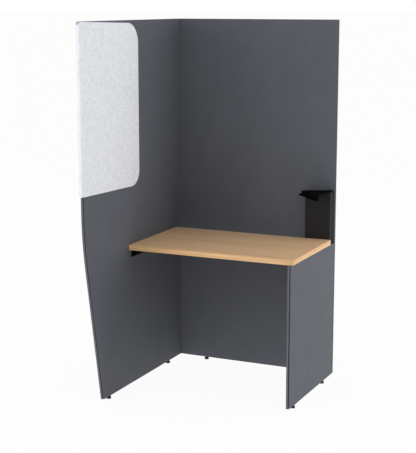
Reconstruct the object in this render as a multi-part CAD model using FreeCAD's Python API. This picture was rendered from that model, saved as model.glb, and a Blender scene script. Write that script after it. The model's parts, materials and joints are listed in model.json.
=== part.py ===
import FreeCAD, Part
import math
import os

# An open work booth for one person. A tall back panel and a tall side panel on the left meet
# in a corner, and a desk spans from the side panel to a short leg panel on the right.
# Millimetres: +X to the right, +Y to the back, +Z up. The origin lies on the floor, under the
# middle of the booth's outline.

Vector = FreeCAD.Vector
RIGHT = Vector(1, 0, 0)
BACK = Vector(0, 1, 0)
UP = Vector(0, 0, 1)
LEFT = Vector(-1, 0, 0)
FRONT = Vector(0, -1, 0)
DOWN = Vector(0, 0, -1)

# Booth and panels
booth_width = 873.0
booth_height = 1800.0
side_depth = 995.0
leg_overhang = 28.0
panel_bottom = 14.0
panel_thickness = 16.0
face_skin = 1.5
groove_width = 5.0
groove_depth = 10.0

# Front edge of the side panel: upright, then a wide bend, then a slant back to the foot
bend_start = 955.0
bend_radius = 1500.0
slant_angle = 10.6

# Desk
desk_height = 720.0
desk_thickness = 25.0
desk_depth = 530.0
desk_laminate = 1.0
desk_edge_band = 2.0
desk_corner = 4.0
desk_edge_round = 1.0
desk_side_gap = 1.0
cable_gap = 52.0

# Steel angle that carries the desk along the side panel
rail_leg = 40.0
rail_wall = 3.0
rail_round = 2.0
rail_front_setback = 30.0
rail_rear_setback = 30.0
rail_screws = 4
rail_screw_margin = 45.0
rail_screw_offset = 20.0
rail_screw_stagger = 8.0

# Small steel angles between the leg panel and the desk
angle_leg = 40.0
angle_wall = 2.5
angle_width = 40.0
angle_setback = 70.0
angle_screw_spacing = 22.0
angle_screw_offset = 24.0

# Screws: a plain shank stands for the thread
screw_shank = 2.0
screw_head = 4.0
screw_head_height = 2.2
screw_grip = 9.0
desk_screw_grip = 16.0
screw_clearance = 0.1

# Bolts that pull the side panel and the leg panel against the back panel
bolt_shank = 3.0
bolt_head = 6.5
bolt_head_height = 5.0
bolt_reach = 22.0
bolt_cap = 1.5
bolt_clearance = 0.2
insert_radius = 5.0
insert_length = 26.0
side_bolts = 4
leg_bolts = 2
side_bolt_margin = 140.0
leg_bolt_margin = 110.0

# Levelling feet
pad_radius = 11.0
pad_height = 10.5
pad_round = 2.0
collar_flats = 13.0
collar_gap = 0.3
stem_radius = 4.0
stem_reach = 28.0
stem_seat = 6.0
stem_clearance = 0.06
pad_clearance = 0.05
foot_flange = 7.0
foot_flange_height = 1.5
foot_insert_length = 25.0
foot_pocket_spare = 6.0
side_foot_front = 63.0
side_foot_rear = 144.0
leg_foot_front = 70.0
leg_foot_rear = 130.0
back_foot_end = 165.0

# Felt cover over the upper front edge of the side panel
cover_nose = 16.0
felt_thickness = 2.5
cover_clearance = 0.3
cover_length = 549.0
cover_top_drop = 0.5
cover_desk_gap = 296.0
cover_slope = 1.5
cover_rear_top_round = 100.0
cover_rear_low_round = 75.0
cover_front_top_round = 12.0
tape_width = 25.0
tape_thickness = 0.8
tape_clearance = 0.1
tape_setback = 14.0
tape_end_margin = 110.0
nose_core_low_gap = 35.0
nose_core_top_gap = 0.5

# Black column on the back panel behind the desk
column_width = 133.0
column_depth = 45.0
column_end_gap = 8.0
column_top = 956.0
column_low_gap = 5.0
column_wall = 1.5
column_plate = 2.0
column_fit = 0.3
column_round = 2.0
column_screw_margin_x = 22.0
column_screw_margin_z = 40.0

# Swing tray on top of the column
pivot_from_end = 23.0
pivot_from_back = 20.0
tray_pivot_round = 17.0
tray_end_round = 11.0
tray_left_reach = 128.0
tray_front_reach = 164.0
tray_spread = 63.2
tray_turn = 23.0
tray_plate = 4.0
tray_rail_height = 23.0
tray_rail_round = 1.5
tray_washer = 2.0
tray_washer_radius = 10.0
tray_lift = 0.2
shoulder_radius = 4.0
shoulder_clearance = 0.05
pivot_head = 9.0
pivot_head_height = 3.0
pivot_thread = 3.0
pivot_nut_flats = 10.0
pivot_nut_height = 5.0
peg_radius = 5.5
peg_length = 13.0
peg_round = 1.5
peg_drop = 4.5
peg_spigot = 3.5
peg_spigot_length = 12.0
peg_seat_depth = 3.0
peg_socket_spare = 0.2
tray_screw_sink = 2.6
tray_screw_bite = 3.0
tray_screw_margin = 20.0

# Places that follow from the sizes
foot_proud = max(0, pad_radius - panel_thickness / 2)
overall_depth = cover_nose + side_depth + panel_thickness + foot_proud
left_outer = -booth_width / 2
left_inner = left_outer + panel_thickness
left_middle = left_outer + panel_thickness / 2
right_end = booth_width / 2
leg_inner = right_end - panel_thickness
leg_middle = right_end - panel_thickness / 2
back_outer = overall_depth / 2 - foot_proud
back_inner = back_outer - panel_thickness
back_middle = back_outer - panel_thickness / 2
side_front = back_inner - side_depth
desk_under = desk_height - desk_thickness
desk_rear = back_inner - cable_gap
desk_front = desk_rear - desk_depth
leg_front = desk_front - leg_overhang
desk_left = left_inner + desk_side_gap
cover_front = side_front - cover_nose
cover_rear = cover_front + cover_length

# Every piece by its name
pieces = {}


def block(x_low, x_high, y_low, y_high, z_low, z_high):
    """A box between two corners."""
    size = Vector(x_high - x_low, y_high - y_low, z_high - z_low)
    return Part.makeBox(size.x, size.y, size.z, Vector(x_low, y_low, z_low))


def rod(start, along, radius, length):
    """A round bar from a point along a direction."""
    return Part.makeCylinder(radius, length, start, along)


def hexagon_bar(start, flats, height):
    """An upright hexagonal bar, sized across its flats."""
    corner = flats / math.sqrt(3)
    turns = [math.radians(60 * step) for step in range(6)]
    points = [start + Vector(corner * math.cos(turn), corner * math.sin(turn), 0) for turn in turns]
    return Part.Face(closed(points)).extrude(UP * height)


def closed(points):
    """A closed wire of straight lines through the points."""
    return Part.makePolygon(points + [points[0]])


def joined(shapes):
    """Several touching or overlapping solids made into one."""
    return shapes[0].fuse(shapes[1:]).removeSplitter()


def group(shapes):
    """Separate solids that share one name."""
    return Part.makeCompound(shapes)


def drill(names, start, along, radius, depth):
    """Takes a round hole out of each named piece."""
    for name in names:
        pieces[name] = pieces[name].cut(rod(start, along, radius, depth))


def spread(low, high, count):
    """Evenly spaced places from low to high."""
    step = (high - low) / (count - 1)
    return [low + step * index for index in range(count)]


def screw(seat, along, grip):
    """A pan-head screw: its head stands on the seat and its shank runs along the given way."""
    head = rod(seat - along * screw_head_height, along, screw_head, screw_head_height)
    return joined([head, rod(seat, along, screw_shank, grip)])


def fasten(group_shapes, names, seat, along, grip):
    """Adds a screw and drills its hole in the pieces that it passes."""
    group_shapes.append(screw(seat, along, grip))
    drill(names, seat, along, screw_shank + screw_clearance, grip + screw_clearance)


def panel_layers(outline, across):
    """A panel's core board and its two face skins.

    outline(inset) is the panel's closed wire in the plane of its first face, with the free edges
    drawn in by inset, and across points from the first face to the second. The core shows as a
    narrow strip on a free edge, with a groove between it and the second skin.
    """
    def layer(inset, low, high):
        face = Part.Face(outline(inset))
        face.translate(across * low)
        return face.extrude(across * (high - low))

    core_high = panel_thickness - face_skin
    strip = layer(0, face_skin, core_high - groove_width)
    core = joined([layer(groove_depth, face_skin, core_high), strip])
    first_skin = layer(0, 0, face_skin)
    second_skin = layer(0, core_high, panel_thickness)
    return core, first_skin, second_skin


def back_outline(inset):
    """The back panel's rear face, seen from the front."""
    low_x = left_outer + inset
    high_x = right_end - inset
    top = booth_height - inset
    return closed([
        Vector(low_x, back_outer, panel_bottom),
        Vector(high_x, back_outer, panel_bottom),
        Vector(high_x, back_outer, top),
        Vector(low_x, back_outer, top),
    ])


def leg_outline(inset):
    """The leg panel, seen from the side."""
    front = leg_front + inset
    return closed([
        Vector(leg_inner, front, panel_bottom),
        Vector(leg_inner, back_inner, panel_bottom),
        Vector(leg_inner, back_inner, desk_under),
        Vector(leg_inner, front, desk_under),
    ])


def side_toe(inset):
    """How far forward the side panel's front edge reaches at its lower edge."""
    slant = math.radians(slant_angle)
    radius = bend_radius - inset
    bend_y = side_front + bend_radius - radius * math.cos(slant)
    bend_z = bend_start - radius * math.sin(slant)
    return bend_y + (bend_z - panel_bottom) * math.tan(slant)


def side_outline(inset):
    """The side panel: its front edge is upright, bends on a wide arc and slants back to the foot."""
    slant = math.radians(slant_angle)
    radius = bend_radius - inset
    top = booth_height - inset

    def on_bend(turn):
        reach = side_front + bend_radius - radius * math.cos(turn)
        return Vector(left_outer, reach, bend_start - radius * math.sin(turn))

    bend = Part.Arc(on_bend(0), on_bend(slant / 2), on_bend(slant)).toShape()
    straight = Part.makePolygon([
        on_bend(slant),
        Vector(left_outer, side_toe(inset), panel_bottom),
        Vector(left_outer, back_inner, panel_bottom),
        Vector(left_outer, back_inner, top),
        Vector(left_outer, side_front + inset, top),
        on_bend(0),
    ])
    return Part.Wire([bend] + straight.Edges)


def build_panels():
    """The three panels, each as a core board between two face skins."""
    core, rear, front = panel_layers(back_outline, FRONT)
    pieces["back_panel_core"] = core
    pieces["back_panel_front_skin"] = front
    pieces["back_panel_rear_skin"] = rear
    core, outer, inner = panel_layers(side_outline, RIGHT)
    pieces["side_panel_core"] = core
    pieces["side_panel_outer_skin"] = outer
    pieces["side_panel_inner_skin"] = inner
    core, inner, outer = panel_layers(leg_outline, RIGHT)
    pieces["leg_panel_core"] = core
    pieces["leg_panel_inner_skin"] = inner
    pieces["leg_panel_outer_skin"] = outer


def desk_slab(inset):
    """A slab as thick as the desk top, with round corners and its four sides drawn in by inset."""
    low = Vector(desk_left + inset, desk_front + inset, desk_under)
    high = Vector(right_end - inset, desk_rear - inset, desk_under)
    radius = desk_corner - inset
    slab = block(low.x, high.x, low.y, high.y, low.z, desk_height)
    upright = [edge for edge in slab.Edges if edge.BoundBox.ZLength > desk_thickness / 2]
    return slab.makeFillet(radius, upright)


def build_desk():
    """The desk top: a board with a laminate face, inside a band round its four edges."""
    outer = desk_slab(0)
    rims = [edge for edge in outer.Edges if edge.BoundBox.ZLength < desk_thickness / 2]
    filling = desk_slab(desk_edge_band)
    pieces["desk_edge_band"] = outer.makeFillet(desk_edge_round, rims).cut(filling)
    laminate_low = desk_height - desk_laminate
    below = block(desk_left, right_end, desk_front, desk_rear, desk_under, laminate_low)
    pieces["desk_board"] = filling.common(below)
    pieces["desk_laminate"] = filling.cut(below)


def build_desk_rail():
    """The steel angle along the side panel that carries the desk's left end, and its screws."""
    front = desk_front + rail_front_setback
    rear = desk_rear - rail_rear_setback
    corner = Vector(left_inner, front, desk_under)
    section = [
        corner,
        corner + RIGHT * rail_leg,
        corner + RIGHT * rail_leg - UP * rail_wall,
        corner + RIGHT * rail_wall - UP * rail_wall,
        corner + RIGHT * rail_wall - UP * rail_leg,
        corner - UP * rail_leg,
    ]
    rail = Part.Face(closed(section)).extrude(BACK * (rear - front))
    inside = section[3]
    bends = [
        edge for edge in rail.Edges
        if edge.BoundBox.YLength > rail_leg and edge.distToShape(Part.Vertex(inside))[0] < rail_round / 2
    ]
    pieces["desk_rail"] = rail.makeFillet(rail_round, bends)
    screws = []
    for place in spread(front + rail_screw_margin, rear - rail_screw_margin, rail_screws):
        wall_seat = Vector(left_inner + rail_wall, place, desk_under - rail_screw_offset)
        wall_nodes = ["desk_rail", "side_panel_inner_skin", "side_panel_core"]
        fasten(screws, wall_nodes, wall_seat, LEFT, rail_wall + screw_grip)
        desk_place = place + rail_screw_stagger
        desk_seat = Vector(left_inner + rail_screw_offset, desk_place, desk_under - rail_wall)
        fasten(screws, ["desk_rail", "desk_board"], desk_seat, UP, rail_wall + desk_screw_grip)
    pieces["desk_rail_screws"] = group(screws)


def build_leg_angles():
    """Two steel angles that hold the desk's right end to the leg panel, and their screws."""
    angles = []
    screws = []
    names = ["leg_panel_inner_skin", "leg_panel_core"]
    for middle in (desk_front + angle_setback, desk_rear - angle_setback):
        front = middle - angle_width / 2
        rear = middle + angle_width / 2
        upright = block(leg_inner - angle_wall, leg_inner, front, rear, desk_under - angle_leg, desk_under)
        flat = block(leg_inner - angle_leg, leg_inner, front, rear, desk_under - angle_wall, desk_under)
        angle = joined([upright, flat])
        for place in (middle - angle_screw_spacing / 2, middle + angle_screw_spacing / 2):
            leg_seat = Vector(leg_inner - angle_wall, place, desk_under - angle_screw_offset)
            desk_seat = Vector(leg_inner - angle_screw_offset, place, desk_under - angle_wall)
            hole = screw_shank + screw_clearance
            angle = angle.cut(rod(leg_seat, RIGHT, hole, angle_wall))
            angle = angle.cut(rod(desk_seat, UP, hole, angle_wall))
            fasten(screws, names, leg_seat, RIGHT, angle_wall + screw_grip)
            fasten(screws, ["desk_board"], desk_seat, UP, angle_wall + desk_screw_grip)
        angles.append(angle)
    pieces["leg_angles"] = group(angles)
    pieces["leg_angle_screws"] = group(screws)


def build_panel_bolts():
    """Bolts through the back panel into threaded inserts, under caps that lie flush at the rear."""
    side_heights = spread(panel_bottom + side_bolt_margin, booth_height - side_bolt_margin, side_bolts)
    leg_heights = spread(panel_bottom + leg_bolt_margin, desk_under - leg_bolt_margin, leg_bolts)
    places = [(left_middle, height, "side_panel_core") for height in side_heights]
    places += [(leg_middle, height, "leg_panel_core") for height in leg_heights]
    back_nodes = ["back_panel_core", "back_panel_front_skin", "back_panel_rear_skin"]
    bolts = []
    inserts = []
    caps = []
    for across, height, carrier in places:
        outside = Vector(across, back_outer, height)
        head_rear = outside + FRONT * bolt_cap
        head_front = head_rear + FRONT * bolt_head_height
        mouth = Vector(across, back_inner, height)
        shank = head_front.y - back_inner + bolt_reach
        bolts.append(joined([
            rod(head_rear, FRONT, bolt_head, bolt_head_height),
            rod(head_front, FRONT, bolt_shank, shank),
        ]))
        caps.append(rod(outside, FRONT, bolt_head, bolt_cap))
        drill(back_nodes, outside, FRONT, bolt_head + bolt_clearance, bolt_cap + bolt_head_height)
        drill(back_nodes, outside, FRONT, bolt_shank + bolt_clearance, panel_thickness)
        drill([carrier], mouth, FRONT, insert_radius, insert_length)
        sleeve = rod(mouth, FRONT, insert_radius, insert_length)
        inserts.append(sleeve.cut(rod(mouth, FRONT, bolt_shank + screw_clearance, insert_length)))
    pieces["panel_bolts"] = group(bolts)
    pieces["panel_inserts"] = group(inserts)
    pieces["panel_bolt_caps"] = group(caps)


def build_feet():
    """Six levelling feet: a pad on a threaded stem, in an insert in the panel's lower edge."""
    places = {
        "side_front": (left_middle, side_toe(0) + side_foot_front, "side_panel_core"),
        "side_rear": (left_middle, back_inner - side_foot_rear, "side_panel_core"),
        "leg_front": (leg_middle, leg_front + leg_foot_front, "leg_panel_core"),
        "leg_rear": (leg_middle, back_inner - leg_foot_rear, "leg_panel_core"),
        "back_left": (left_outer + back_foot_end, back_middle, "back_panel_core"),
        "back_right": (right_end - back_foot_end, back_middle, "back_panel_core"),
    }
    inserts = []
    flange_low = panel_bottom - foot_flange_height
    collar_height = flange_low - collar_gap - pad_height
    stem_bore = stem_radius + stem_clearance
    for name, (across, along, carrier) in places.items():
        ground = Vector(across, along, 0)
        mouth = ground + UP * panel_bottom
        pad_top = ground + UP * pad_height
        collar_top = pad_top + UP * collar_height
        pad = rod(ground, UP, pad_radius, pad_height)
        upper = [edge for edge in pad.Edges if edge.BoundBox.ZMin > pad_height / 2]
        pad = pad.makeFillet(pad_round, upper)
        pad = pad.cut(rod(pad_top, DOWN, stem_radius + pad_clearance, stem_seat))
        pieces["foot_pad_" + name] = pad
        pieces["foot_stem_" + name] = joined([
            rod(pad_top, DOWN, stem_radius, stem_seat),
            hexagon_bar(pad_top, collar_flats, collar_height),
            rod(collar_top, UP, stem_radius, stem_reach),
        ])
        insert = joined([
            rod(ground + UP * flange_low, UP, foot_flange, foot_flange_height),
            rod(mouth, UP, insert_radius, foot_insert_length),
        ])
        insert = insert.cut(rod(ground, UP, stem_bore, panel_bottom + foot_insert_length))
        inserts.append(insert)
        drill([carrier], mouth, UP, insert_radius, foot_insert_length + foot_pocket_spare)
    pieces["foot_inserts"] = group(inserts)


def cover_corners():
    """The felt cover's corners seen from the side: lower front, lower rear, upper rear, upper front.

    Its front and rear edges are upright, and its upper and lower edges fall towards the rear by
    the same slope.
    """
    drop = cover_length * math.tan(math.radians(cover_slope))
    top = booth_height - cover_top_drop
    low = desk_height + cover_desk_gap
    return [
        Vector(0, cover_front, low),
        Vector(0, cover_rear, low - drop),
        Vector(0, cover_rear, top - drop),
        Vector(0, cover_front, top),
    ]


def tape_strip(face, outwards, thickness, spare):
    """An upright strip on one face of the side panel, near the felt cover's rear edge."""
    corners = cover_corners()
    sides = sorted((face, face + outwards * thickness))
    rear = cover_rear - tape_setback
    low = corners[1].z + tape_end_margin
    high = corners[2].z - tape_end_margin
    front = rear - tape_width
    return block(sides[0], sides[1], front - spare, rear + spare, low - spare, high + spare)


def build_cover():
    """The felt cover folded round the side panel's front edge, its foam nose and fastening tapes."""
    slack = cover_clearance + felt_thickness
    corners = cover_corners()
    width = panel_thickness + 2 * slack
    sheet = Part.Face(closed(corners)).extrude(RIGHT * width)
    rounds = [
        (corners[1], cover_rear_low_round),
        (corners[2], cover_rear_top_round),
        (corners[3], cover_front_top_round),
    ]
    for corner, radius in rounds:
        point = Part.Vertex(corner)
        across = [edge for edge in sheet.Edges if edge.BoundBox.XLength > width / 2]
        across = [edge for edge in across if edge.distToShape(point)[0] < felt_thickness]
        sheet = sheet.makeFillet(radius, across)
    sheet.translate(RIGHT * (left_outer - slack))
    slot_low = left_outer - cover_clearance
    slot_high = left_inner + cover_clearance
    slot_front = cover_front + felt_thickness
    slot = block(slot_low, slot_high, slot_front, cover_rear + cover_length, 0, 2 * booth_height)
    cover = sheet.cut(slot)

    tapes = []
    for face, outwards in ((left_inner, 1), (left_outer, -1)):
        tapes.append(tape_strip(face, outwards, tape_thickness, 0))
        cover = cover.cut(tape_strip(face, outwards, tape_thickness + tape_clearance, tape_clearance))
    pieces["felt_cover"] = cover
    pieces["cover_tapes"] = group(tapes)
    nose_front = slot_front + cover_clearance
    nose_low = corners[0].z + nose_core_low_gap
    nose_top = corners[3].z - nose_core_top_gap
    nose = block(left_outer, left_inner, nose_front, side_front - cover_clearance, nose_low, nose_top)
    brow_point = Part.Vertex(Vector(left_outer, nose_front, nose_top))
    brow = [edge for edge in nose.Edges if edge.BoundBox.XLength > panel_thickness / 2]
    brow = [edge for edge in brow if edge.distToShape(brow_point)[0] < cover_clearance]
    nose_round = cover_front_top_round - felt_thickness - cover_clearance
    pieces["cover_nose_core"] = nose.makeFillet(nose_round, brow)


def build_column():
    """The black column on the back panel: a folded back plate, a cover over it, and screws."""
    right = right_end - column_end_gap
    left = right - column_width
    low = desk_under + column_low_gap
    front = back_inner - column_depth
    shell = block(left, right, front, back_inner - column_fit, low, column_top)
    folds = [
        edge for edge in shell.Edges
        if edge.BoundBox.YMax < front + column_fit and edge.BoundBox.ZLength > column_depth
    ]
    shell = shell.makeFillet(column_round, folds)
    hollow = block(
        left + column_wall, right - column_wall,
        front + column_wall, back_inner,
        low + column_wall, column_top - column_wall,
    )
    pieces["column_cover"] = shell.cut(hollow)

    plate_left = left + column_wall + column_fit
    plate_right = right - column_wall - column_fit
    plate_low = low + column_wall + column_fit
    plate_high = column_top - column_wall - column_fit
    flange_front = front + column_wall + column_fit
    plate = block(plate_left, plate_right, back_inner - column_plate, back_inner, plate_low, plate_high)
    lower = block(plate_left, plate_right, flange_front, back_inner, plate_low, plate_low + column_plate)
    upper = block(plate_left, plate_right, flange_front, back_inner, plate_high - column_plate, plate_high)
    pieces["column_plate"] = joined([plate, lower, upper])

    wall_screws = []
    wall_nodes = ["column_plate", "back_panel_front_skin", "back_panel_core"]
    for across in (plate_left + column_screw_margin_x, plate_right - column_screw_margin_x):
        for height in (plate_low + column_screw_margin_z, plate_high - column_screw_margin_z):
            seat = Vector(across, back_inner - column_plate, height)
            fasten(wall_screws, wall_nodes, seat, BACK, column_plate + screw_grip)
    pieces["column_plate_screws"] = group(wall_screws)
    cover_screws = []
    for across in (plate_left + column_screw_margin_x, plate_right - column_screw_margin_x):
        seat = Vector(across, (flange_front + back_inner) / 2, low)
        fasten(cover_screws, ["column_cover", "column_plate"], seat, UP, screw_grip)
    pieces["column_cover_screws"] = group(cover_screws)


def tray_places():
    """The tray's pivot, left end and front end, seen from above."""
    pivot = Vector(right_end - pivot_from_end, back_inner - pivot_from_back, column_top)
    left_turn = math.radians(180 + tray_turn)
    front_turn = math.radians(180 + tray_turn + tray_spread)
    left_end = pivot + Vector(math.cos(left_turn), math.sin(left_turn), 0) * tray_left_reach
    front_end = pivot + Vector(math.cos(front_turn), math.sin(front_turn), 0) * tray_front_reach
    return pivot, left_end, front_end


def belt(circles):
    """The outline of a belt run anticlockwise round circles of given centres and radii."""
    edges = []
    tangents = []
    count = len(circles)
    for index in range(count):
        start, start_radius = circles[index]
        end, end_radius = circles[(index + 1) % count]
        way = end - start
        lean = math.acos((start_radius - end_radius) / way.Length)
        turn = math.atan2(way.y, way.x) - lean
        outward = Vector(math.cos(turn), math.sin(turn), 0)
        tangents.append((start + outward * start_radius, end + outward * end_radius, turn))
    for index in range(count):
        centre, radius = circles[index]
        arrives = tangents[index - 1]
        leaves = tangents[index]
        sweep = (leaves[2] - arrives[2]) % (2 * math.pi)
        middle_turn = arrives[2] + sweep / 2
        middle = centre + Vector(math.cos(middle_turn), math.sin(middle_turn), 0) * radius
        edges.append(Part.Arc(arrives[1], middle, leaves[0]).toShape())
        edges.append(Part.LineSegment(leaves[0], leaves[1]).toShape())
    return Part.Wire(edges)


def build_tray():
    """The swing tray: a three-cornered plate, a rail screwed under its front edge and a peg."""
    pivot, left_end, front_end = tray_places()
    plate_low = UP * tray_washer
    plan = [
        (pivot + plate_low, tray_pivot_round),
        (left_end + plate_low, tray_end_round),
        (front_end + plate_low, tray_end_round),
    ]
    plate = Part.Face(belt(plan)).extrude(UP * tray_plate)
    bore = shoulder_radius + shoulder_clearance
    pieces["tray_plate"] = plate.cut(rod(pivot, UP, bore, tray_washer + tray_plate))

    rail_low = UP * (tray_washer - tray_rail_height)
    rail_plan = [(left_end + rail_low, tray_end_round), (front_end + rail_low, tray_end_round)]
    rail = Part.Face(belt(rail_plan)).extrude(UP * tray_rail_height)
    rail_middle = column_top + rail_low.z + tray_rail_height / 2
    lower = [edge for edge in rail.Edges if edge.BoundBox.ZMax < rail_middle]
    rail = rail.makeFillet(tray_rail_round, lower)

    peg_way = (left_end - pivot).normalize()
    peg_height = UP * (tray_washer - tray_rail_height / 2 - peg_drop)
    peg_start = left_end + peg_height + peg_way * (tray_end_round - peg_seat_depth)
    seat = rod(peg_start, peg_way, peg_radius + screw_clearance, tray_end_round)
    socket_depth = peg_spigot_length + peg_socket_spare
    socket = rod(peg_start, peg_way * -1, peg_spigot + screw_clearance, socket_depth)
    pieces["tray_rail"] = rail.cut([seat, socket])
    knob = rod(peg_start, peg_way, peg_radius, peg_seat_depth + peg_length)
    tip = peg_start + peg_way * (peg_seat_depth + peg_length)
    rims = [edge for edge in knob.Edges if edge.isClosed()]
    rims = [edge for edge in rims if edge.CenterOfMass.distanceToPoint(tip) < peg_round]
    spigot = rod(peg_start, peg_way * -1, peg_spigot, peg_spigot_length)
    pieces["tray_peg"] = joined([knob.makeFillet(peg_round, rims), spigot])

    screws = []
    grip = tray_rail_height - tray_screw_sink + tray_screw_bite
    margin = (left_end - front_end).normalize() * tray_screw_margin
    for place in (left_end - margin, front_end + margin):
        mouth = place + rail_low
        drill(["tray_rail"], mouth, UP, screw_head + screw_clearance, tray_screw_sink)
        fasten(screws, ["tray_rail", "tray_plate"], mouth + UP * tray_screw_sink, UP, grip)
    pieces["tray_rail_screws"] = group(screws)


def build_tray_pivot():
    """The shoulder bolt that the tray turns on, its washer and the nut inside the column."""
    pivot = tray_places()[0]
    shoulder = tray_washer + tray_plate + tray_lift
    head_low = pivot + UP * shoulder
    flange_under = pivot - UP * (column_wall + column_fit + column_plate)
    thread = pivot.z - flange_under.z + pivot_nut_height
    pieces["tray_pivot_bolt"] = joined([
        rod(pivot - UP * thread, UP, pivot_thread, thread),
        rod(pivot, UP, shoulder_radius, shoulder),
        rod(head_low, UP, pivot_head, pivot_head_height),
    ])
    washer = rod(pivot, UP, tray_washer_radius, tray_washer)
    hole = shoulder_radius + shoulder_clearance
    pieces["tray_washer"] = washer.cut(rod(pivot, UP, hole, tray_washer))
    nut_low = flange_under - UP * pivot_nut_height
    nut = hexagon_bar(nut_low, pivot_nut_flats, pivot_nut_height)
    nut_bore = pivot_thread + shoulder_clearance
    pieces["tray_pivot_nut"] = nut.cut(rod(nut_low, UP, nut_bore, pivot_nut_height))
    drill(["column_cover", "column_plate"], pivot, DOWN, pivot_thread + screw_clearance, thread)


def main():
    """Builds every piece in order and writes each to its own file."""
    build_panels()
    build_desk()
    build_desk_rail()
    build_leg_angles()
    build_panel_bolts()
    build_feet()
    build_cover()
    build_column()
    build_tray_pivot()
    build_tray()
    os.makedirs("parts", exist_ok=True)
    for name, shape in pieces.items():
        shape.exportStep("parts/" + name + ".step")
        print(name, len(shape.Solids), round(shape.Volume), shape.isValid())


main()
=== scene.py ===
"""The looks of an open work booth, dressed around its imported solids.

Metres, in the frame of the solids: +X to the right, +Y to the back panel, +Z up from the floor.
"""

import json
import logging
import math
from dataclasses import dataclass, field
from enum import Enum
from typing import Any

import bmesh
import bpy
import numpy as np
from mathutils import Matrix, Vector


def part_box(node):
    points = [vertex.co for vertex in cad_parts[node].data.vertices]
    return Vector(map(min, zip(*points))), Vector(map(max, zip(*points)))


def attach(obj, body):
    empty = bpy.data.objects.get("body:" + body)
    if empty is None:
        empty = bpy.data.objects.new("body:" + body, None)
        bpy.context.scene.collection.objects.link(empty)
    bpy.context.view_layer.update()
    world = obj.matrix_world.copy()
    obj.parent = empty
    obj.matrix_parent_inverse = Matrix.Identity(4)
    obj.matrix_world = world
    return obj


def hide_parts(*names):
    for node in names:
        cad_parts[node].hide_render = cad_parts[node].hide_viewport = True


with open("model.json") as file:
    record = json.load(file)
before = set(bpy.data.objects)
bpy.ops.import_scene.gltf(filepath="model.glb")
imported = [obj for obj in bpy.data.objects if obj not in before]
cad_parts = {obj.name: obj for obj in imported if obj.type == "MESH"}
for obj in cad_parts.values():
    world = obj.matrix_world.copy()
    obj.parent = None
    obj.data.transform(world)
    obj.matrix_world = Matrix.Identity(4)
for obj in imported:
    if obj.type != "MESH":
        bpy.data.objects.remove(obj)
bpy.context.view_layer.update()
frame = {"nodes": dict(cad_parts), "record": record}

LOG = logging.getLogger("booth")
MM = 0.001
FINE_DETAIL = 2.0
SOFT_DETAIL = 3.0
RICH_DETAIL = 4.0
# The sockets that a mix node uses when it mixes colours
MIX_SHARE = 0
MIX_FIRST = 6
MIX_SECOND = 7
MIX_RESULT = 2

Colour = tuple[float, float, float, float]
Span = tuple[float, float]
Triple = tuple[float, float, float]


def linear(colour: str) -> Colour:
    """Turns an sRGB hex colour into the linear colour that a shader takes.

    Args:
        colour: The colour as #rrggbb.

    Returns:
        Linear red, green, blue and an alpha of one.
    """
    parts = np.array([int(colour[at:at + 2], 16) for at in (1, 3, 5)]) / 255.0
    low = parts / 12.92
    high = ((parts + 0.055) / 1.055) ** 2.4
    red, green, blue = np.where(parts <= 0.04045, low, high)
    return float(red), float(green), float(blue), 1.0


def plug(tree: bpy.types.NodeTree, socket: bpy.types.NodeSocket, value: Any) -> None:
    """Links an input socket to an output socket, or sets its value.

    Args:
        tree: The node tree.
        socket: The input socket.
        value: An output socket to link, or a value to set.
    """
    if isinstance(value, bpy.types.NodeSocket):
        tree.links.new(value, socket)
    else:
        socket.default_value = value


def add_node(
    tree: bpy.types.NodeTree, kind: str, inputs: dict[str | int, Any] | None = None, **settings: Any
) -> bpy.types.Node:
    """Adds a node to a tree, with its settings, its input values and its links.

    Args:
        tree: The node tree.
        kind: The node's type name.
        inputs: For each input socket, a value to set or an output socket to link.
        **settings: Properties of the node itself.

    Returns:
        The new node.
    """
    node = tree.nodes.new(kind)
    for name, value in settings.items():
        setattr(node, name, value)
    for name, value in (inputs or {}).items():
        plug(tree, node.inputs[name], value)
    return node


def per_metre(size_mm: float) -> float:
    """A noise scale whose features are about this many millimetres across."""
    return 1.0 / (size_mm * MM)


@dataclass
class Surface:
    """A material's node tree while a finish is wired into it, with its shader and coordinates."""

    tree: bpy.types.NodeTree
    shader: bpy.types.Node
    place: bpy.types.NodeSocket

    def feed(self, name: str, value: Any) -> None:
        """Sets or links one of the shader's inputs."""
        plug(self.tree, self.shader.inputs[name], value)


class GrainRun(Enum):
    """Which way a wood grain runs, as scales of the pattern along X, Y and Z."""

    ALONG_THE_DESK = (0.045, 1.0, 1.0)
    ALONG_EACH_EDGE = (0.02, 0.02, 1.0)


@dataclass(frozen=True)
class Finish:
    """A surface finish, made into one material the first time that it is asked for."""

    name: str

    def material(self) -> bpy.types.Material:
        """The finish as a material.

        Returns:
            The material, which is shared by every piece with this finish.
        """
        made = bpy.data.materials.get(self.name)
        if made is not None:
            return made
        made = bpy.data.materials.new(self.name)
        made.use_nodes = True
        tree = made.node_tree
        place = add_node(tree, "ShaderNodeTexCoord").outputs["Object"]
        self.wire(Surface(tree, tree.nodes["Principled BSDF"], place))
        return made

    def wire(self, surface: Surface) -> None:
        """Wires the finish into a surface."""
        raise NotImplementedError

    def dress(self, piece: bpy.types.Object) -> None:
        """Gives a piece this finish alone."""
        piece.data.materials.clear()
        piece.data.materials.append(self.material())


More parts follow.
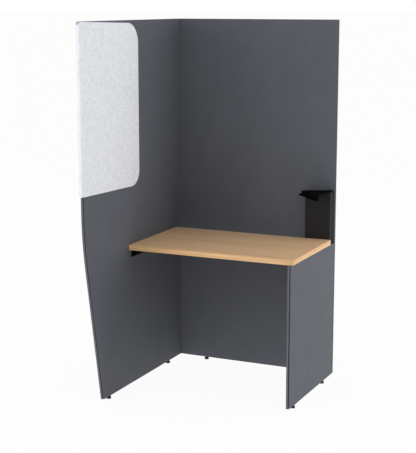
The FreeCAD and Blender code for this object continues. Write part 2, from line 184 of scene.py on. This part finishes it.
@dataclass(frozen=True)
class GrainedSheet(Finish):
    """Melamine face or plastic edging: a dark, matt, even sheet with a fine pressed grain.

    The eye sees one colour with a soft, broad sheen, and close up a fine pebble that scatters it.
    """

    colour: str = "#5e6067"
    deep: str = "#585b61"
    roughness: float = 0.6
    roughness_swing: float = 0.06
    specular: float = 0.08
    pebble_mm: float = 1.6
    cloud_mm: float = 90.0
    cloud_roughness: float = 0.6
    speck: Span = (0.12, 0.38)
    relief_mm: float = 0.05
    relief_strength: float = 0.35

    def wire(self, surface: Surface) -> None:
        """Clouds the colour a little and presses the pebble in.

        Args:
            surface: The surface to wire.
        """
        tree = surface.tree
        cloud = add_node(
            tree, "ShaderNodeTexNoise",
            {
                "Vector": surface.place, "Scale": per_metre(self.cloud_mm),
                "Detail": SOFT_DETAIL, "Roughness": self.cloud_roughness,
            },
        )
        pebble = add_node(
            tree, "ShaderNodeTexNoise",
            {"Vector": surface.place, "Scale": per_metre(self.pebble_mm), "Detail": FINE_DETAIL},
        ).outputs["Fac"]
        speck = add_node(
            tree, "ShaderNodeMath", {0: cloud.outputs["Fac"], 1: pebble}, operation="MULTIPLY",
        )
        share = add_node(
            tree, "ShaderNodeMapRange",
            {"Value": speck.outputs[0], "From Min": self.speck[0], "From Max": self.speck[1]},
        )
        colour = add_node(
            tree, "ShaderNodeMix",
            {
                MIX_SHARE: share.outputs["Result"], MIX_FIRST: linear(self.deep),
                MIX_SECOND: linear(self.colour),
            },
            data_type="RGBA",
        )
        gloss = add_node(
            tree, "ShaderNodeMapRange",
            {
                "Value": pebble, "To Min": self.roughness - self.roughness_swing,
                "To Max": self.roughness + self.roughness_swing,
            },
        )
        bump = add_node(
            tree, "ShaderNodeBump",
            {"Height": pebble, "Strength": self.relief_strength, "Distance": self.relief_mm * MM},
        )
        surface.feed("Base Color", colour.outputs[MIX_RESULT])
        surface.feed("Roughness", gloss.outputs["Result"])
        surface.feed("Specular IOR Level", self.specular)
        surface.feed("Normal", bump.outputs["Normal"])


@dataclass(frozen=True)
class WoodEffect(Finish):
    """Pale wood-effect laminate: printed grain under a satin resin.

    The eye sees long soft streaks of honey and cream along the grain, with fine darker pores. The
    pores are drawn coarser than real ones, so that they show from a few steps away.
    """

    run: GrainRun = GrainRun.ALONG_THE_DESK
    pale: str = "#e9c59d"
    deep: str = "#d8b086"
    pore: str = "#c2976b"
    streak_mm: float = 22.0
    streak_roughness: float = 0.55
    streak_swirl: float = 0.6
    streak_range: Span = (0.3, 0.7)
    pore_mm: float = 5.0
    pore_range: Span = (0.58, 0.78)
    pore_depth: float = 0.55
    roughness: float = 0.42
    specular: float = 0.1
    relief_mm: float = 0.1
    relief_strength: float = 0.2

    def wire(self, surface: Surface) -> None:
        """Draws streaks and pores along the grain.

        Args:
            surface: The surface to wire.
        """
        tree = surface.tree
        along = add_node(
            tree, "ShaderNodeMapping", {"Vector": surface.place, "Scale": self.run.value},
        ).outputs["Vector"]
        streak = add_node(
            tree, "ShaderNodeTexNoise",
            {
                "Vector": along, "Scale": per_metre(self.streak_mm), "Detail": RICH_DETAIL,
                "Roughness": self.streak_roughness, "Distortion": self.streak_swirl,
            },
        )
        pore = add_node(
            tree, "ShaderNodeTexNoise",
            {"Vector": along, "Scale": per_metre(self.pore_mm), "Detail": FINE_DETAIL},
        ).outputs["Fac"]
        streak_share = add_node(
            tree, "ShaderNodeMapRange",
            {
                "Value": streak.outputs["Fac"],
                "From Min": self.streak_range[0], "From Max": self.streak_range[1],
            },
        )
        pore_share = add_node(
            tree, "ShaderNodeMapRange",
            {
                "Value": pore, "From Min": self.pore_range[0], "From Max": self.pore_range[1],
                "To Max": self.pore_depth,
            },
        )
        streaked = add_node(
            tree, "ShaderNodeMix",
            {
                MIX_SHARE: streak_share.outputs["Result"], MIX_FIRST: linear(self.deep),
                MIX_SECOND: linear(self.pale),
            },
            data_type="RGBA",
        )
        colour = add_node(
            tree, "ShaderNodeMix",
            {
                MIX_SHARE: pore_share.outputs["Result"], MIX_FIRST: streaked.outputs[MIX_RESULT],
                MIX_SECOND: linear(self.pore),
            },
            data_type="RGBA",
        )
        bump = add_node(
            tree, "ShaderNodeBump",
            {"Height": pore, "Strength": self.relief_strength, "Distance": self.relief_mm * MM},
        )
        surface.feed("Base Color", colour.outputs[MIX_RESULT])
        surface.feed("Roughness", self.roughness)
        surface.feed("Specular IOR Level", self.specular)
        surface.feed("Normal", bump.outputs["Normal"])


@dataclass(frozen=True)
class ChipBoard(Finish):
    """Raw particle board: pressed wood chips of mixed honey tones, dry and matt."""

    pale: str = "#c9a878"
    deep: str = "#94713f"
    chip_mm: float = 7.0
    roughness: float = 0.85
    relief_mm: float = 0.2
    relief_strength: float = 0.3

    def wire(self, surface: Surface) -> None:
        """Gives every chip its own tone.

        Args:
            surface: The surface to wire.
        """
        tree = surface.tree
        chips = add_node(
            tree, "ShaderNodeTexVoronoi",
            {"Vector": surface.place, "Scale": per_metre(self.chip_mm)},
        )
        tone = add_node(tree, "ShaderNodeSeparateColor", {"Color": chips.outputs["Color"]})
        colour = add_node(
            tree, "ShaderNodeMix",
            {
                MIX_SHARE: tone.outputs["Red"], MIX_FIRST: linear(self.deep),
                MIX_SECOND: linear(self.pale),
            },
            data_type="RGBA",
        )
        bump = add_node(
            tree, "ShaderNodeBump",
            {
                "Height": chips.outputs["Distance"], "Strength": self.relief_strength,
                "Distance": self.relief_mm * MM,
            },
        )
        surface.feed("Base Color", colour.outputs[MIX_RESULT])
        surface.feed("Roughness", self.roughness)
        surface.feed("Normal", bump.outputs["Normal"])


@dataclass(frozen=True)
class Coat(Finish):
    """A black or grey coat, painted, powder coated or moulded: an even colour with orange peel.

    The eye sees a dark body whose sheen is broken up by a slow ripple of the coat.
    """

    colour: str = "#101010"
    worn: str = "#161616"
    roughness: float = 0.45
    roughness_swing: float = 0.05
    specular: float = 0.4
    peel_mm: float = 1.5
    cloud_mm: float = 37.5
    relief_mm: float = 0.04
    relief_strength: float = 0.3

    def wire(self, surface: Surface) -> None:
        """Ripples the coat and varies its gloss.

        Args:
            surface: The surface to wire.
        """
        tree = surface.tree
        peel = add_node(
            tree, "ShaderNodeTexNoise",
            {"Vector": surface.place, "Scale": per_metre(self.peel_mm), "Detail": FINE_DETAIL},
        )
        cloud = add_node(
            tree, "ShaderNodeTexNoise",
            {"Vector": surface.place, "Scale": per_metre(self.cloud_mm), "Detail": SOFT_DETAIL},
        ).outputs["Fac"]
        colour = add_node(
            tree, "ShaderNodeMix",
            {MIX_SHARE: cloud, MIX_FIRST: linear(self.colour), MIX_SECOND: linear(self.worn)},
            data_type="RGBA",
        )
        gloss = add_node(
            tree, "ShaderNodeMapRange",
            {
                "Value": cloud, "To Min": self.roughness - self.roughness_swing,
                "To Max": self.roughness + self.roughness_swing,
            },
        )
        bump = add_node(
            tree, "ShaderNodeBump",
            {
                "Height": peel.outputs["Fac"], "Strength": self.relief_strength,
                "Distance": self.relief_mm * MM,
            },
        )
        surface.feed("Base Color", colour.outputs[MIX_RESULT])
        surface.feed("Roughness", gloss.outputs["Result"])
        surface.feed("Specular IOR Level", self.specular)
        surface.feed("Normal", bump.outputs["Normal"])


@dataclass(frozen=True)
class ZincPlate(Finish):
    """Zinc-plated steel: a pale, slightly blue metal, or a blackened one, with a faint crystal bloom."""

    colour: str = "#c3c6ca"
    bloom: str = "#a2a6ac"
    roughness: float = 0.34
    bloom_mm: float = 3.0

    def wire(self, surface: Surface) -> None:
        """Blooms the plating.

        Args:
            surface: The surface to wire.
        """
        bloom = add_node(
            surface.tree, "ShaderNodeTexNoise",
            {"Vector": surface.place, "Scale": per_metre(self.bloom_mm), "Detail": SOFT_DETAIL},
        )
        colour = add_node(
            surface.tree, "ShaderNodeMix",
            {
                MIX_SHARE: bloom.outputs["Fac"], MIX_FIRST: linear(self.bloom),
                MIX_SECOND: linear(self.colour),
            },
            data_type="RGBA",
        )
        surface.feed("Base Color", colour.outputs[MIX_RESULT])
        surface.feed("Metallic", 1.0)
        surface.feed("Roughness", self.roughness)


@dataclass(frozen=True)
class PressedFelt(Finish):
    """Pressed polyester felt: pale grey fibres laid both ways and needled flat.

    The eye sees a soft mottle with short upright and level streaks. They are drawn coarser than
    single fibres, so that they show from a few steps away.
    """

    pale: str = "#e6e8ed"
    deep: str = "#d6d8de"
    streak_mm: float = 13.0
    streak_roughness: float = 0.6
    streak_range: Span = (0.75, 1.25)
    upright: Triple = (1.0, 1.0, 0.4)
    level: Triple = (1.0, 0.4, 1.0)
    fibre_mm: float = 1.2
    roughness: float = 0.95
    specular: float = 0.1
    relief_mm: float = 0.3
    relief_strength: float = 0.5

    def wire(self, surface: Surface) -> None:
        """Lays upright and level streaks over one another.

        Args:
            surface: The surface to wire.
        """
        tree = surface.tree
        streaks = []
        for stretch in (self.upright, self.level):
            laid = add_node(tree, "ShaderNodeMapping", {"Vector": surface.place, "Scale": stretch})
            streak = add_node(
                tree, "ShaderNodeTexNoise",
                {
                    "Vector": laid.outputs["Vector"], "Scale": per_metre(self.streak_mm),
                    "Detail": SOFT_DETAIL, "Roughness": self.streak_roughness,
                },
            )
            streaks.append(streak.outputs["Fac"])
        mottle = add_node(tree, "ShaderNodeMath", dict(enumerate(streaks)), operation="ADD")
        share = add_node(
            tree, "ShaderNodeMapRange",
            {
                "Value": mottle.outputs[0],
                "From Min": self.streak_range[0], "From Max": self.streak_range[1],
            },
        )
        fibre = add_node(
            tree, "ShaderNodeTexNoise",
            {"Vector": surface.place, "Scale": per_metre(self.fibre_mm), "Detail": SOFT_DETAIL},
        )
        colour = add_node(
            tree, "ShaderNodeMix",
            {
                MIX_SHARE: share.outputs["Result"], MIX_FIRST: linear(self.deep),
                MIX_SECOND: linear(self.pale),
            },
            data_type="RGBA",
        )
        bump = add_node(
            tree, "ShaderNodeBump",
            {
                "Height": fibre.outputs["Fac"], "Strength": self.relief_strength,
                "Distance": self.relief_mm * MM,
            },
        )
        surface.feed("Base Color", colour.outputs[MIX_RESULT])
        surface.feed("Roughness", self.roughness)
        surface.feed("Specular IOR Level", self.specular)
        surface.feed("Normal", bump.outputs["Normal"])


PANEL_FACE = GrainedSheet("dark_grey_melamine")
PANEL_EDGE = GrainedSheet(
    "dark_grey_edging", colour="#65686f", deep="#606269", roughness=0.5, pebble_mm=2.5,
)
DESK_FACE = WoodEffect("pale_oak_laminate")
DESK_EDGE = WoodEffect(
    "pale_oak_edging", run=GrainRun.ALONG_EACH_EDGE, pale="#e6c294", deep="#cb9f70", streak_mm=6.0,
)
DESK_CORE = ChipBoard("particle_board")
POWDER_COAT = Coat("black_powder_coat", colour="#060606", worn="#090909", roughness=0.6, specular=0.06)
COLUMN_PAINT = Coat(
    "black_satin_paint", colour="#2c2b2b", worn="#302f2f", roughness=0.4, specular=0.03, relief_mm=0.015,
)
TRAY_PLASTIC = Coat(
    "black_moulded_plastic", colour="#040404", worn="#060606", roughness=0.7, specular=0.03,
)
FOOT_PLASTIC = Coat("black_foot_plastic", colour="#141414", worn="#1b1b1b", roughness=0.55, specular=0.3)
ZINC = ZincPlate("zinc_plated_steel")
BLACK_ZINC = ZincPlate("black_zinc_plated_steel", colour="#3a3a3c", bloom="#2c2c2e", roughness=0.45)
FELT = PressedFelt("pale_pressed_felt")
TAPE = Coat("black_fastening_tape", colour="#1a1a1a", worn="#242424", roughness=0.9, specular=0.1)
# The foam core's own pale grey. Where it shows at the felt's rounded upper front corner, this grey is
# painted shade: it stands in for the shading on the felt's rounding.
FOAM_AND_CORNER_SHADE = Coat("pale_grey_foam_and_corner_shade", colour="#a8a8aa", worn="#b2b2b4", roughness=0.9, specular=0.1)

FINISH_OF_SLOT = {
    "panel_board": PANEL_EDGE,
    "panel_face": PANEL_FACE,
    "desk_particle_board": DESK_CORE,
    "desk_face": DESK_FACE,
    "desk_edge": DESK_EDGE,
    "black_steel": POWDER_COAT,
    "column_gloss": COLUMN_PAINT,
    "zinc_steel": ZINC,
    "black_steel_fastener": POWDER_COAT,
    "black_plastic": FOOT_PLASTIC,
    "felt": FELT,
    "tape": TAPE,
    "foam": FOAM_AND_CORNER_SHADE,
}


@dataclass
class Construction:
    """The booth's solid pieces, which keep their shapes and get their finishes here."""

    tray_nodes: tuple[str, ...] = ("tray_plate", "tray_rail", "tray_peg", "tray_washer")
    black_fasteners: tuple[str, ...] = (
        "foot_inserts", "foot_stem_", "desk_rail_screws", "leg_angle_screws",
    )

    def dress(self) -> None:
        """Dresses each solid in the finish of its slot, but the tray and black fasteners in their own."""
        for row in frame["record"]["subparts"]:
            node = row["node"]
            finish = FINISH_OF_SLOT[row["material_slot"]]
            if node in self.tray_nodes:
                finish = TRAY_PLASTIC
            elif node.startswith(self.black_fasteners):
                finish = BLACK_ZINC
            finish.dress(frame["nodes"][node])
            LOG.info("dressed %s in %s", node, finish.name)


@dataclass
class FeltCover:
    """The felt sheet folded round the upper front edge of the side panel.

    Its front and rear edges are upright, its upper and lower edges fall a little to the rear, and
    three of its four corners, seen from the side, are round.
    """

    felt: float = 2.5 * MM
    fold_round: float = 3.0 * MM
    edge_roll: float = 2.2 * MM
    top_drop: float = 0.5 * MM
    desk_gap: float = 296.0 * MM
    slope: float = math.tan(math.radians(1.5))
    rear_top_round: float = 100.0 * MM
    rear_low_round: float = 75.0 * MM
    front_top_round: float = 12.0 * MM
    ripple: float = 0.35 * MM
    ripple_length: float = 240.0 * MM
    ripple_fade: float = 66.0 * MM
    ripple_lean: float = 0.4
    cross_ripple_share: float = 0.7
    cross_ripple_lean: float = 0.6
    cross_ripple_start: float = 1.0
    face_columns: int = 110
    fold_columns: int = 8
    nose_columns: int = 8
    rows: int = 150
    rim: tuple[float, ...] = (0.0, 0.25 * MM, 0.7 * MM, 1.3 * MM, 2.2 * MM, 3.6 * MM)
    weld: float = 0.001 * MM
    low: np.ndarray = field(init=False)
    high: np.ndarray = field(init=False)
    top: float = field(init=False)
    bottom: float = field(init=False)

    def __post_init__(self) -> None:
        """Takes the cover's place from the solids."""
        low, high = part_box("felt_cover")
        self.low = np.array(low)
        self.high = np.array(high)
        self.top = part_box("side_panel_core")[1].z - self.top_drop
        self.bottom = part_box("desk_laminate")[1].z + self.desk_gap

    def girth(self) -> tuple[np.ndarray, np.ndarray]:
        """The line that the felt's inner side follows, seen from above.

        It runs forward along the outer face, turns a quarter circle, crosses the nose, turns
        another quarter circle and runs back along the inner face.

        Returns:
            The points and their outward normals.
        """
        left = self.low[0] + self.felt
        right = self.high[0] - self.felt
        front = self.low[1] + self.felt
        rear = self.high[1]
        inset = np.array(self.rim)
        span = np.linspace(rear - inset[-1], front + self.fold_round, self.face_columns)[1:-1]
        run = np.concatenate([rear - inset, span])
        turn = np.linspace(0.0, math.pi / 2, self.fold_columns)
        nose = np.linspace(left + self.fold_round, right - self.fold_round, self.nose_columns)[1:-1]
        first = math.pi + turn
        second = 1.5 * math.pi + turn
        first_x = left + self.fold_round * (1 + np.cos(first))
        second_x = right + self.fold_round * (np.cos(second) - 1)
        fold_y = front + self.fold_round * (1 + np.sin(first))
        outer = np.full(run.size, left)
        inner = np.full(run.size, right)
        x = np.concatenate([outer, first_x, nose, second_x, inner])
        y = np.concatenate([run, fold_y, np.full(nose.size, front), fold_y[::-1], run[::-1]])
        angle = np.concatenate([
            np.full(run.size, math.pi), first, np.full(nose.size, 1.5 * math.pi), second,
            np.full(run.size, 2 * math.pi),
        ])
        normals = np.stack([np.cos(angle), np.sin(angle)], axis=1)
        return np.stack([x, y], axis=1), normals

    def edges(self, y: np.ndarray) -> tuple[np.ndarray, np.ndarray]:
        """The heights of the lower and upper edge at places along the panel.

        Each edge is a straight sloping line that ends in arcs: on an arc the height is the centre's
        plus or minus the root of the radius squared less the distance from the centre squared.

        Args:
            y: Places from front to rear.

        Returns:
            The lower and the upper height at each place.
        """
        lean = math.atan(self.slope)
        front = self.low[1]
        rear = self.high[1]

        def line(start: float, at: np.ndarray | float) -> np.ndarray | float:
            """A sloping edge's height at a place."""
            return start - (at - front) * self.slope

        def arc(centre: float, radius: float) -> np.ndarray:
            """How far an arc stands from its centre's height."""
            return np.sqrt(np.clip(radius ** 2 - (y - centre) ** 2, 0.0, None))

        low = line(self.bottom, y)
        centre = rear - self.rear_low_round
        height = line(self.bottom, centre) + self.rear_low_round / math.cos(lean)
        bent = y > centre - self.rear_low_round * math.sin(lean)
        low = np.where(bent, height - arc(centre, self.rear_low_round), low)
        high = line(self.top, y)
        centre = rear - self.rear_top_round
        height = line(self.top, centre) - self.rear_top_round / math.cos(lean)
        bent = y > centre + self.rear_top_round * math.sin(lean)
        high = np.where(bent, height + arc(centre, self.rear_top_round), high)
        centre = front + self.front_top_round
        height = line(self.top, centre) - self.front_top_round / math.cos(lean)
        bent = y < centre + self.front_top_round * math.sin(lean)
        high = np.where(bent, height + arc(centre, self.front_top_round), high)
        return low, high

    def heights(self, low: np.ndarray, high: np.ndarray) -> np.ndarray:
        """The heights of the grid's rows on each column, close together near both edges.

        Args:
            low: The lower edge's height on each column.
            high: The upper edge's height on each column.

        Returns:
            The heights, columns by rows.
        """
        rim = np.array(self.rim)
        share = np.linspace(0.0, 1.0, self.rows)[1:-1]
        inner_low = low + rim[-1]
        inner_high = high - rim[-1]
        middle = inner_low[:, None] + (inner_high - inner_low)[:, None] * share[None, :]
        return np.concatenate([low[:, None] + rim, middle, high[:, None] - rim[::-1]], axis=1)

    def lift(
        self, points: np.ndarray, normals: np.ndarray, z: np.ndarray, low: np.ndarray, high: np.ndarray
    ) -> np.ndarray:
        """How far the felt's outer side stands off the panel.

        It stands off by the felt's thickness, which rolls down to nothing at the edges as a quarter
        circle does. Two slow sine waves ripple it where it is far from the edges and the fold.

        Args:
            points: The girth's points, seen from above.
            normals: Their outward normals.
            z: The heights of the grid, columns by rows.
            low: The lower edge's height on each column.
            high: The upper edge's height on each column.

        Returns:
            The distance at each point of the grid.
        """
        outside = points + normals * self.felt
        step = np.linalg.norm(np.diff(outside, axis=0), axis=1)
        along = np.concatenate([[0.0], np.cumsum(step)])
        from_low = (z - low[:, None]) / np.sqrt(1 + np.gradient(low, along)[:, None] ** 2)
        from_high = (high[:, None] - z) / np.sqrt(1 + np.gradient(high, along)[:, None] ** 2)
        y = points[:, 1][:, None]
        reach = np.minimum(np.minimum(from_low, from_high), self.high[1] - y)
        roll = np.sqrt(1 - (1 - np.clip(reach / self.edge_roll, 0.0, 1.0)) ** 2)
        wave = 2 * math.pi / self.ripple_length
        cross_phase = wave * self.cross_ripple_share * (z - self.cross_ripple_lean * y)
        swell = np.sin(wave * (y + self.ripple_lean * z)) + np.sin(cross_phase + self.cross_ripple_start)
        folded = np.clip(-normals[:, 1], 0.0, 1.0)[:, None] ** 2
        calm = np.clip(reach / self.ripple_fade, 0.0, 1.0) * (1 - folded)
        return self.felt * roll + self.ripple * swell * calm

    def build(self) -> bpy.types.Object:
        """Makes the cover as one closed felt sheet.

        The sheet is a grid of columns along the girth and rows up the panel. Its inner side lies on
        the panel, and its outer side stands off by the felt's thickness.

        Returns:
            The cover, riding on the booth.
        """
        points, normals = self.girth()
        low, high = self.edges(points[:, 1] + normals[:, 1] * self.felt)
        z = self.heights(low, high)
        grid = np.repeat(points[:, None, :], z.shape[1], axis=1)
        back = np.concatenate([grid, z[:, :, None]], axis=2)
        front = back.copy()
        front[:, :, :2] += normals[:, None, :] * self.lift(points, normals, z, low, high)[:, :, None]
        cover = self.closed_sheet("felt_cover_sheet", front, back)

        FELT.dress(cover)
        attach(cover, "booth")
        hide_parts("felt_cover")
        return cover

    def closed_sheet(self, name: str, front: np.ndarray, back: np.ndarray) -> bpy.types.Object:
        """Makes a closed mesh from two grids that meet along their edges.

        Args:
            name: The piece's name.
            front: The outer grid, columns by rows by 3.
            back: The inner grid, of the same shape.

        Returns:
            The piece, linked to the scene.
        """
        columns, rows = front.shape[:2]
        index = np.arange(columns * rows).reshape(columns, rows)
        quads = np.stack([index[:-1, :-1], index[1:, :-1], index[1:, 1:], index[:-1, 1:]], axis=-1)
        quads = quads.reshape(-1, 4)
        faces = np.concatenate([quads, quads[:, ::-1] + columns * rows])
        places = np.concatenate([front.reshape(-1, 3), back.reshape(-1, 3)])
        mesh = bpy.data.meshes.new(name)
        mesh.from_pydata(places, [], faces.tolist())
        made = bmesh.new()
        made.from_mesh(mesh)
        bmesh.ops.remove_doubles(made, verts=made.verts, dist=self.weld)
        made.to_mesh(mesh)
        made.free()
        mesh.polygons.foreach_set("use_smooth", np.ones(len(mesh.polygons), dtype=bool))
        mesh.update()
        piece = bpy.data.objects.new(name, mesh)
        bpy.context.scene.collection.objects.link(piece)
        return piece


@dataclass(frozen=True)
class Softbox:
    """A square lamp behind a white cloth, aimed at the middle of the booth and not seen itself."""

    name: str
    place: Triple
    watts: float
    size: float = 2.5
    aim: Triple = (0.0, 0.0, 0.9)

    def build(self) -> None:
        """Hangs the lamp."""
        data = bpy.data.lights.new(self.name, "AREA")
        data.size = self.size
        data.energy = self.watts
        lamp = bpy.data.objects.new(self.name, data)
        lamp.location = self.place
        way = Vector(self.aim) - Vector(self.place)
        lamp.rotation_euler = way.to_track_quat("-Z", "Y").to_euler()
        lamp.visible_camera = False
        lamp.visible_glossy = False
        bpy.context.scene.collection.objects.link(lamp)


@dataclass
class Studio:
    """The camera, a white floor that is lit from below, a soft sky and three softboxes."""

    camera_place: Triple = (2.3294, -5.1304, 1.8883)
    camera_yaw: float = 24.716
    camera_pitch: float = 10.638
    lens_mm: float = 95.36
    white: str = "#ffffff"
    floor_size: float = 400.0
    floor_colour: str = "#fafafa"
    floor_roughness: float = 0.9
    floor_glow: float = 1.0
    shadow_share: float = 0.06
    sky: float = 0.68
    softboxes: tuple[Softbox, ...] = (
        Softbox("front_left_softbox", (-2.6, -3.4, 1.6), 62.0),
        Softbox("right_rear_softbox", (4.0, 1.6, 1.6), 62.0),
        Softbox("high_front_softbox", (-0.2, -3.0, 4.2), 7.0),
    )

    def set_camera(self) -> None:
        """Stands the camera where the photograph was taken from."""
        data = bpy.data.cameras.new("camera")
        data.lens = self.lens_mm
        data.clip_end = self.floor_size
        camera = bpy.data.objects.new("camera", data)
        camera.location = self.camera_place
        camera.rotation_euler = (math.radians(90 - self.camera_pitch), 0.0, math.radians(self.camera_yaw))
        bpy.context.scene.collection.objects.link(camera)
        bpy.context.scene.camera = camera

    def lay_floor(self) -> None:
        """Lays a white floor, lit from below as a light table is, that keeps a faint shadow."""
        half = self.floor_size / 2
        mesh = bpy.data.meshes.new("floor")
        corners = [(-half, -half, 0.0), (half, -half, 0.0), (half, half, 0.0), (-half, half, 0.0)]
        mesh.from_pydata(corners, [], [(0, 1, 2, 3)])
        floor = bpy.data.objects.new("floor", mesh)
        bpy.context.scene.collection.objects.link(floor)
        material = bpy.data.materials.new("white_light_table")
        material.use_nodes = True
        tree = material.node_tree
        shader = tree.nodes["Principled BSDF"]
        shader.inputs["Base Color"].default_value = linear(self.floor_colour)
        shader.inputs["Roughness"].default_value = self.floor_roughness
        shader.inputs["Specular IOR Level"].default_value = 0.0
        path = add_node(tree, "ShaderNodeLightPath")
        share = add_node(
            tree, "ShaderNodeMath",
            {0: path.outputs["Is Camera Ray"], 1: self.shadow_share}, operation="MULTIPLY",
        )
        glow = add_node(
            tree, "ShaderNodeEmission", {"Color": linear(self.white), "Strength": self.floor_glow},
        )
        mix = add_node(
            tree, "ShaderNodeMixShader",
            {0: share.outputs[0], 1: glow.outputs["Emission"], 2: shader.outputs["BSDF"]},
        )
        tree.links.new(mix.outputs["Shader"], tree.nodes["Material Output"].inputs["Surface"])
        mesh.materials.append(material)

    def light(self) -> None:
        """Hangs the softboxes under a sky that is dimmer on the booth than it looks."""
        world = bpy.data.worlds.new("soft_white_sky")
        world.use_nodes = True
        tree = world.node_tree
        lit = tree.nodes["Background"]
        lit.inputs["Color"].default_value = linear(self.white)
        lit.inputs["Strength"].default_value = self.sky
        seen = add_node(tree, "ShaderNodeBackground", {"Color": linear(self.white), "Strength": 1.0})
        path = add_node(tree, "ShaderNodeLightPath")
        bright = path.outputs["Is Camera Ray"]
        for other in ("Is Glossy Ray", "Is Transmission Ray"):
            bright = add_node(
                tree, "ShaderNodeMath", {0: bright, 1: path.outputs[other]}, operation="MAXIMUM",
            ).outputs[0]
        mix = add_node(
            tree, "ShaderNodeMixShader",
            {0: bright, 1: lit.outputs["Background"], 2: seen.outputs["Background"]},
        )
        tree.links.new(mix.outputs["Shader"], tree.nodes["World Output"].inputs["Surface"])
        bpy.context.scene.world = world
        bpy.context.scene.view_settings.view_transform = "Standard"
        for softbox in self.softboxes:
            softbox.build()

    def build(self) -> None:
        """Sets up the camera, the floor and the light."""
        self.set_camera()
        self.lay_floor()
        self.light()


def main() -> None:
    """Builds and dresses the booth."""
    logging.basicConfig(level=logging.INFO, format="%(name)s: %(message)s")
    Studio().build()
    Construction().dress()
    FeltCover().build()


if __name__ == "__main__":
    main()
